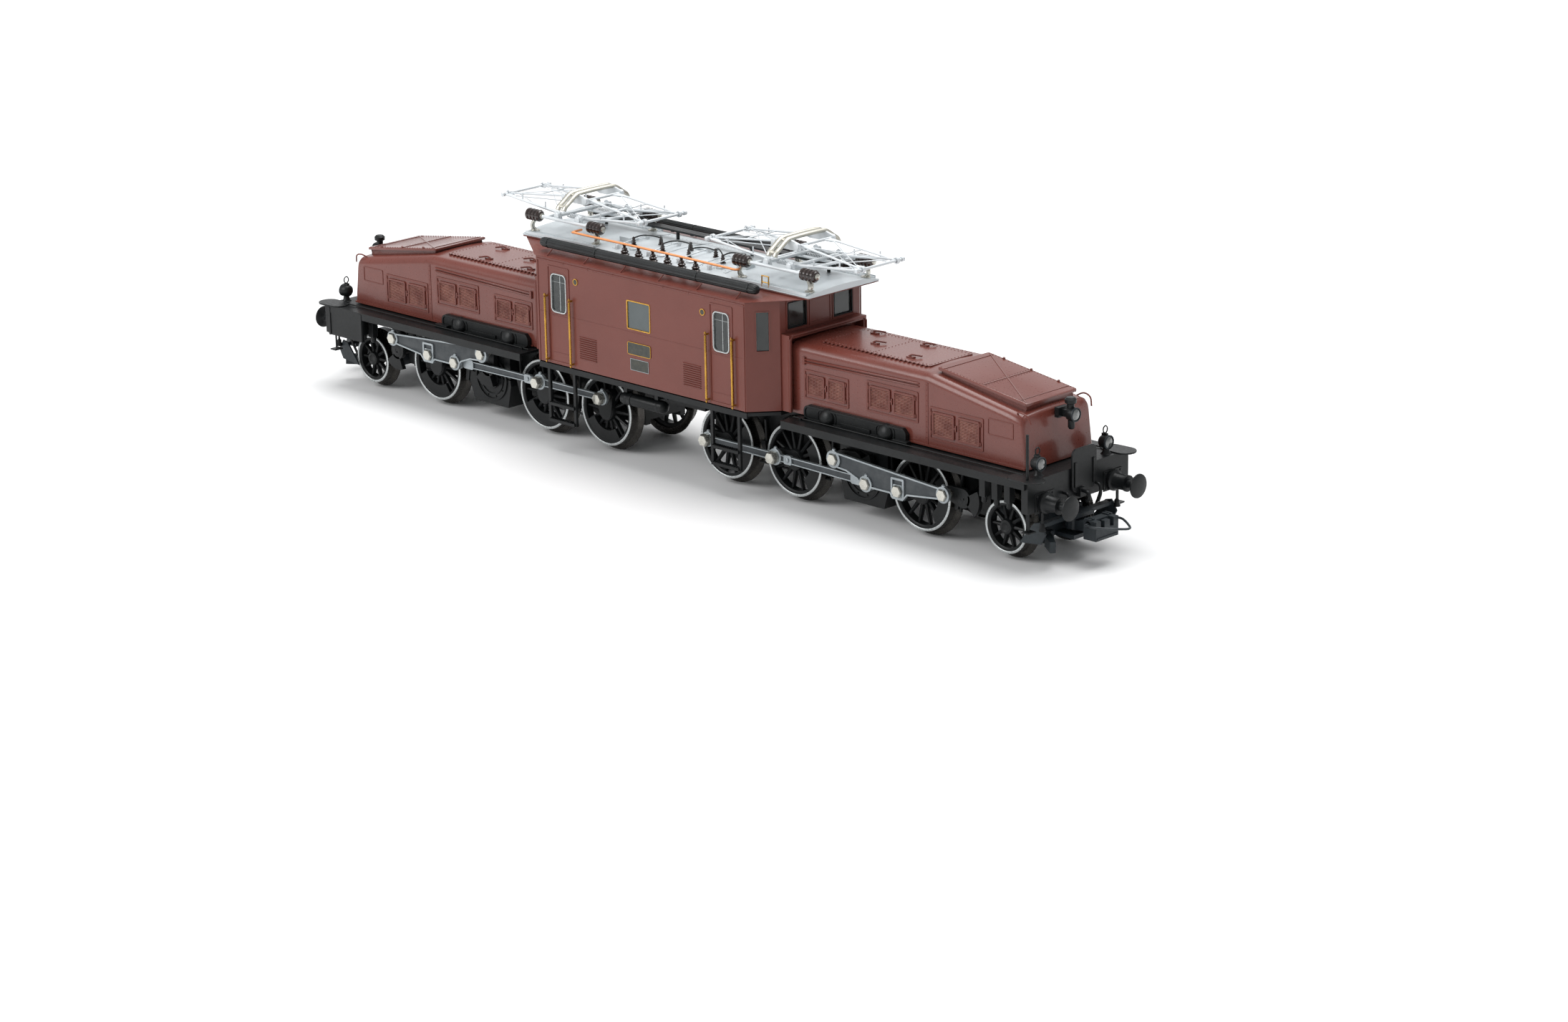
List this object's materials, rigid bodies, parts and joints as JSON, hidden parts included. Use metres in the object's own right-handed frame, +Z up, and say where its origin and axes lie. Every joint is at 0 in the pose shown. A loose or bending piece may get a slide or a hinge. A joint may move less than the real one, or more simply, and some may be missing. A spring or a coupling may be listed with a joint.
{
  "type": "model electric locomotive",
  "caption": "Articulated scale-model electric locomotive: a middle cab with folding pantographs between two rod-driven bogies with sloping hoods.",
  "frame": {"origin": "middle of the locomotive, at the height of the lowest point of the wheel flanges, 1.2 mm below the rail top", "axes": "+X along the locomotive towards end A, +Y to its left, +Z up"},
  "size_m": [0.235, 0.0362, 0.0537],
  "materials": {
    "body_brown": "satin",
    "frame_black": "satin",
    "wheel_black": "satin",
    "rod_steel": "brushed",
    "roof_silver": "satin",
    "roof_dark_grey": "satin",
    "pantograph_silver": "satin",
    "collector_nickel": "satin",
    "busbar_orange": "satin",
    "motor_steel": "satin",
    "brass": "satin",
    "circuit_board": "matte",
    "window_glass": "clear",
    "insulator_brown": "glossy",
    "rim_nickel": "polished"
  },
  "bodies": {
    "cab": {"cab_shell": "body_brown", "cab_glazing": "window_glass", "cab_roof": "roof_silver", "underframe": "frame_black", "air_reservoir": "frame_black", "motor": "motor_steel", "circuit_board": "circuit_board", "oil_cooler_left": "roof_dark_grey", "oil_cooler_right": "roof_dark_grey", "roof_walkway": "roof_dark_grey", "busbar": "busbar_orange", "pantograph_base_a": "pantograph_silver", "pantograph_base_b": "pantograph_silver"},
    "rotor": {"motor_rotor": "brass"},
    "bogie_a": {"bogie_frame_a": "frame_black", "hood_a": "body_brown", "gearbox_cover_a": "frame_black", "buffer_left_a": "frame_black", "buffer_right_a": "frame_black"},
    "driving_wheelset_1_a": {"driving_wheelset_1_a": "wheel_black"},
    "driving_wheelset_2_a": {"driving_wheelset_2_a": "wheel_black"},
    "driving_wheelset_3_a": {"driving_wheelset_3_a": "wheel_black"},
    "jackshaft_a": {"jackshaft_a": "rod_steel"},
    "idler_shaft_a": {"idler_shaft_a": "wheel_black"},
    "rods_right_a": {"triangle_rod_right_a": "rod_steel", "coupling_rod_right_a": "rod_steel"},
    "rods_left_a": {"triangle_rod_left_a": "rod_steel", "coupling_rod_left_a": "rod_steel"},
    "pony_truck_a": {"pony_frame_a": "frame_black"},
    "pony_wheelset_a": {"pony_wheelset_a": "wheel_black"},
    "coupler_head_a": {"coupler_head_a": "frame_black"},
    "coupler_loop_a": {"coupler_loop_a": "rod_steel"},
    "bogie_b": {"bogie_frame_b": "frame_black", "hood_b": "body_brown", "gearbox_cover_b": "frame_black", "buffer_left_b": "frame_black", "buffer_right_b": "frame_black"},
    "driving_wheelset_1_b": {"driving_wheelset_1_b": "wheel_black"},
    "driving_wheelset_2_b": {"driving_wheelset_2_b": "wheel_black"},
    "driving_wheelset_3_b": {"driving_wheelset_3_b": "wheel_black"},
    "jackshaft_b": {"jackshaft_b": "rod_steel"},
    "idler_shaft_b": {"idler_shaft_b": "wheel_black"},
    "rods_right_b": {"triangle_rod_right_b": "rod_steel", "coupling_rod_right_b": "rod_steel"},
    "rods_left_b": {"triangle_rod_left_b": "rod_steel", "coupling_rod_left_b": "rod_steel"},
    "pony_truck_b": {"pony_frame_b": "frame_black"},
    "pony_wheelset_b": {"pony_wheelset_b": "wheel_black"},
    "coupler_head_b": {"coupler_head_b": "frame_black"},
    "coupler_loop_b": {"coupler_loop_b": "rod_steel"},
    "lower_arm_front_a": {"lower_arm_front_a": "pantograph_silver"},
    "lower_arm_rear_a": {"lower_arm_rear_a": "pantograph_silver"},
    "upper_arm_front_a": {"upper_arm_front_a": "pantograph_silver"},
    "upper_arm_rear_a": {"upper_arm_rear_a": "pantograph_silver"},
    "collector_head_a": {"collector_head_a": "collector_nickel"},
    "lower_arm_front_b": {"lower_arm_front_b": "pantograph_silver"},
    "lower_arm_rear_b": {"lower_arm_rear_b": "pantograph_silver"},
    "upper_arm_front_b": {"upper_arm_front_b": "pantograph_silver"},
    "upper_arm_rear_b": {"upper_arm_rear_b": "pantograph_silver"},
    "collector_head_b": {"collector_head_b": "collector_nickel"}
  },
  "joints": [
    {"name": "bogie_swivel_a", "type": "hinge", "parent": "cab", "child": "bogie_a", "pos_m": [0.033, 0, 0.0162], "axis": [0, 0, 1], "range_deg": [-6, 6]},
    {"name": "axle_1_spin_a", "type": "hinge", "parent": "bogie_a", "child": "driving_wheelset_1_a", "pos_m": [0.0725, 0, 0.00895], "axis": [0, 1, 0], "continuous": true},
    {"name": "axle_2_spin_a", "type": "hinge", "parent": "bogie_a", "child": "driving_wheelset_2_a", "pos_m": [0.0375, 0, 0.00895], "axis": [0, 1, 0], "continuous": true},
    {"name": "axle_3_spin_a", "type": "hinge", "parent": "bogie_a", "child": "driving_wheelset_3_a", "pos_m": [0.01813, 0, 0.00895], "axis": [0, 1, 0], "continuous": true},
    {"name": "jackshaft_spin_a", "type": "hinge", "parent": "bogie_a", "child": "jackshaft_a", "pos_m": [0.055, 0, 0.0121], "axis": [0, 1, 0], "continuous": true},
    {"name": "idler_shaft_spin_a", "type": "hinge", "parent": "bogie_a", "child": "idler_shaft_a", "pos_m": [0.0845, 0, 0.0106], "axis": [0, 1, 0], "continuous": true},
    {"name": "rod_pin_right_a", "type": "hinge", "parent": "jackshaft_a", "child": "rods_right_a", "pos_m": [0.05153, -0.01295, 0.01259], "axis": [0, 1, 0], "continuous": true},
    {"name": "rod_pin_left_a", "type": "hinge", "parent": "jackshaft_a", "child": "rods_left_a", "pos_m": [0.05451, 0.01295, 0.00863], "axis": [0, 1, 0], "continuous": true},
    {"name": "pony_swing_a", "type": "hinge", "parent": "bogie_a", "child": "pony_truck_a", "pos_m": [0.08, 0, 0.0068], "axis": [0, 0, 1], "range_deg": [-4, 4]},
    {"name": "pony_spin_a", "type": "hinge", "parent": "pony_truck_a", "child": "pony_wheelset_a", "pos_m": [0.09464, 0, 0.00665], "axis": [0, 1, 0], "continuous": true},
    {"name": "coupler_swing_a", "type": "hinge", "parent": "pony_truck_a", "child": "coupler_head_a", "pos_m": [0.1035, 0, 0.0072], "axis": [0, 0, 1], "range_deg": [-7, 7]},
    {"name": "coupler_lift_a", "type": "hinge", "parent": "coupler_head_a", "child": "coupler_loop_a", "pos_m": [0.1097, 0, 0.0087], "axis": [0, -1, 0], "range_deg": [0, 45]},
    {"name": "bogie_swivel_b", "type": "hinge", "parent": "cab", "child": "bogie_b", "pos_m": [-0.033, 0, 0.0162], "axis": [0, 0, 1], "range_deg": [-6, 6]},
    {"name": "axle_1_spin_b", "type": "hinge", "parent": "bogie_b", "child": "driving_wheelset_1_b", "pos_m": [-0.0725, 0, 0.00895], "axis": [0, 1, 0], "continuous": true},
    {"name": "axle_2_spin_b", "type": "hinge", "parent": "bogie_b", "child": "driving_wheelset_2_b", "pos_m": [-0.0375, 0, 0.00895], "axis": [0, 1, 0], "continuous": true},
    {"name": "axle_3_spin_b", "type": "hinge", "parent": "bogie_b", "child": "driving_wheelset_3_b", "pos_m": [-0.01813, 0, 0.00895], "axis": [0, 1, 0], "continuous": true},
    {"name": "jackshaft_spin_b", "type": "hinge", "parent": "bogie_b", "child": "jackshaft_b", "pos_m": [-0.055, 0, 0.0121], "axis": [0, 1, 0], "continuous": true},
    {"name": "idler_shaft_spin_b", "type": "hinge", "parent": "bogie_b", "child": "idler_shaft_b", "pos_m": [-0.0845, 0, 0.0106], "axis": [0, 1, 0], "continuous": true},
    {"name": "rod_pin_right_b", "type": "hinge", "parent": "jackshaft_b", "child": "rods_right_b", "pos_m": [-0.05409, -0.01295, 0.01548], "axis": [0, 1, 0], "continuous": true},
    {"name": "rod_pin_left_b", "type": "hinge", "parent": "jackshaft_b", "child": "rods_left_b", "pos_m": [-0.05162, 0.01295, 0.01119], "axis": [0, 1, 0], "continuous": true},
    {"name": "pony_swing_b", "type": "hinge", "parent": "bogie_b", "child": "pony_truck_b", "pos_m": [-0.08, 0, 0.0068], "axis": [0, 0, 1], "range_deg": [-4, 4]},
    {"name": "pony_spin_b", "type": "hinge", "parent": "pony_truck_b", "child": "pony_wheelset_b", "pos_m": [-0.09464, 0, 0.00665], "axis": [0, 1, 0], "continuous": true},
    {"name": "coupler_swing_b", "type": "hinge", "parent": "pony_truck_b", "child": "coupler_head_b", "pos_m": [-0.1035, 0, 0.0072], "axis": [0, 0, 1], "range_deg": [-7, 7]},
    {"name": "coupler_lift_b", "type": "hinge", "parent": "coupler_head_b", "child": "coupler_loop_b", "pos_m": [-0.1097, 0, 0.0087], "axis": [0, 1, 0], "range_deg": [0, 45]},
    {"name": "motor_spin", "type": "hinge", "parent": "cab", "child": "rotor", "pos_m": [0, 0, 0.0287], "axis": [1, 0, 0], "continuous": true},
    {"name": "pantograph_raise_a", "type": "hinge", "parent": "cab", "child": "lower_arm_front_a", "pos_m": [0.0344, 0, 0.0482], "axis": [0, -1, 0], "range_deg": [0, 38]},
    {"name": "lower_rear_fold_a", "type": "hinge", "parent": "cab", "child": "lower_arm_rear_a", "pos_m": [0.028, 0, 0.0482], "axis": [0, -1, 0], "range_deg": [-38, 0]},
    {"name": "knee_front_fold_a", "type": "hinge", "parent": "lower_arm_front_a", "child": "upper_arm_front_a", "pos_m": [0.0523, 0, 0.0501], "axis": [0, -1, 0], "range_deg": [-76, 0]},
    {"name": "knee_rear_fold_a", "type": "hinge", "parent": "lower_arm_rear_a", "child": "upper_arm_rear_a", "pos_m": [0.0101, 0, 0.0501], "axis": [0, -1, 0], "range_deg": [0, 76]},
    {"name": "head_level_a", "type": "hinge", "parent": "upper_arm_front_a", "child": "collector_head_a", "pos_m": [0.0344, 0, 0.052], "axis": [0, -1, 0], "range_deg": [0, 38]},
    {"name": "pantograph_raise_b", "type": "hinge", "parent": "cab", "child": "lower_arm_front_b", "pos_m": [-0.028, 0, 0.0482], "axis": [0, -1, 0], "range_deg": [0, 38]},
    {"name": "lower_rear_fold_b", "type": "hinge", "parent": "cab", "child": "lower_arm_rear_b", "pos_m": [-0.0344, 0, 0.0482], "axis": [0, -1, 0], "range_deg": [-38, 0]},
    {"name": "knee_front_fold_b", "type": "hinge", "parent": "lower_arm_front_b", "child": "upper_arm_front_b", "pos_m": [-0.0101, 0, 0.0501], "axis": [0, -1, 0], "range_deg": [-76, 0]},
    {"name": "knee_rear_fold_b", "type": "hinge", "parent": "lower_arm_rear_b", "child": "upper_arm_rear_b", "pos_m": [-0.0523, 0, 0.0501], "axis": [0, -1, 0], "range_deg": [0, 76]},
    {"name": "head_level_b", "type": "hinge", "parent": "upper_arm_front_b", "child": "collector_head_b", "pos_m": [-0.028, 0, 0.052], "axis": [0, -1, 0], "range_deg": [0, 38]}
  ],
  "couplings": [
    {"joint": "axle_2_spin_a", "follows": "axle_1_spin_a", "ratio": 1},
    {"joint": "axle_3_spin_a", "follows": "axle_1_spin_a", "ratio": 1},
    {"joint": "jackshaft_spin_a", "follows": "axle_1_spin_a", "ratio": 1},
    {"joint": "idler_shaft_spin_a", "follows": "axle_1_spin_a", "ratio": 1},
    {"joint": "rod_pin_right_a", "follows": "axle_1_spin_a", "ratio": -1},
    {"joint": "rod_pin_left_a", "follows": "axle_1_spin_a", "ratio": -1},
    {"joint": "axle_1_spin_b", "follows": "axle_1_spin_a", "ratio": 1},
    {"joint": "axle_2_spin_b", "follows": "axle_1_spin_a", "ratio": 1},
    {"joint": "axle_3_spin_b", "follows": "axle_1_spin_a", "ratio": 1},
    {"joint": "jackshaft_spin_b", "follows": "axle_1_spin_a", "ratio": 1},
    {"joint": "idler_shaft_spin_b", "follows": "axle_1_spin_a", "ratio": 1},
    {"joint": "rod_pin_right_b", "follows": "axle_1_spin_a", "ratio": -1},
    {"joint": "rod_pin_left_b", "follows": "axle_1_spin_a", "ratio": -1},
    {"joint": "motor_spin", "follows": "axle_1_spin_a", "ratio": 10},
    {"joint": "lower_rear_fold_a", "follows": "pantograph_raise_a", "ratio": -1},
    {"joint": "knee_front_fold_a", "follows": "pantograph_raise_a", "ratio": -2},
    {"joint": "knee_rear_fold_a", "follows": "pantograph_raise_a", "ratio": 2},
    {"joint": "head_level_a", "follows": "pantograph_raise_a", "ratio": 1},
    {"joint": "lower_rear_fold_b", "follows": "pantograph_raise_b", "ratio": -1},
    {"joint": "knee_front_fold_b", "follows": "pantograph_raise_b", "ratio": -2},
    {"joint": "knee_rear_fold_b", "follows": "pantograph_raise_b", "ratio": 2},
    {"joint": "head_level_b", "follows": "pantograph_raise_b", "ratio": 1}
  ]
}
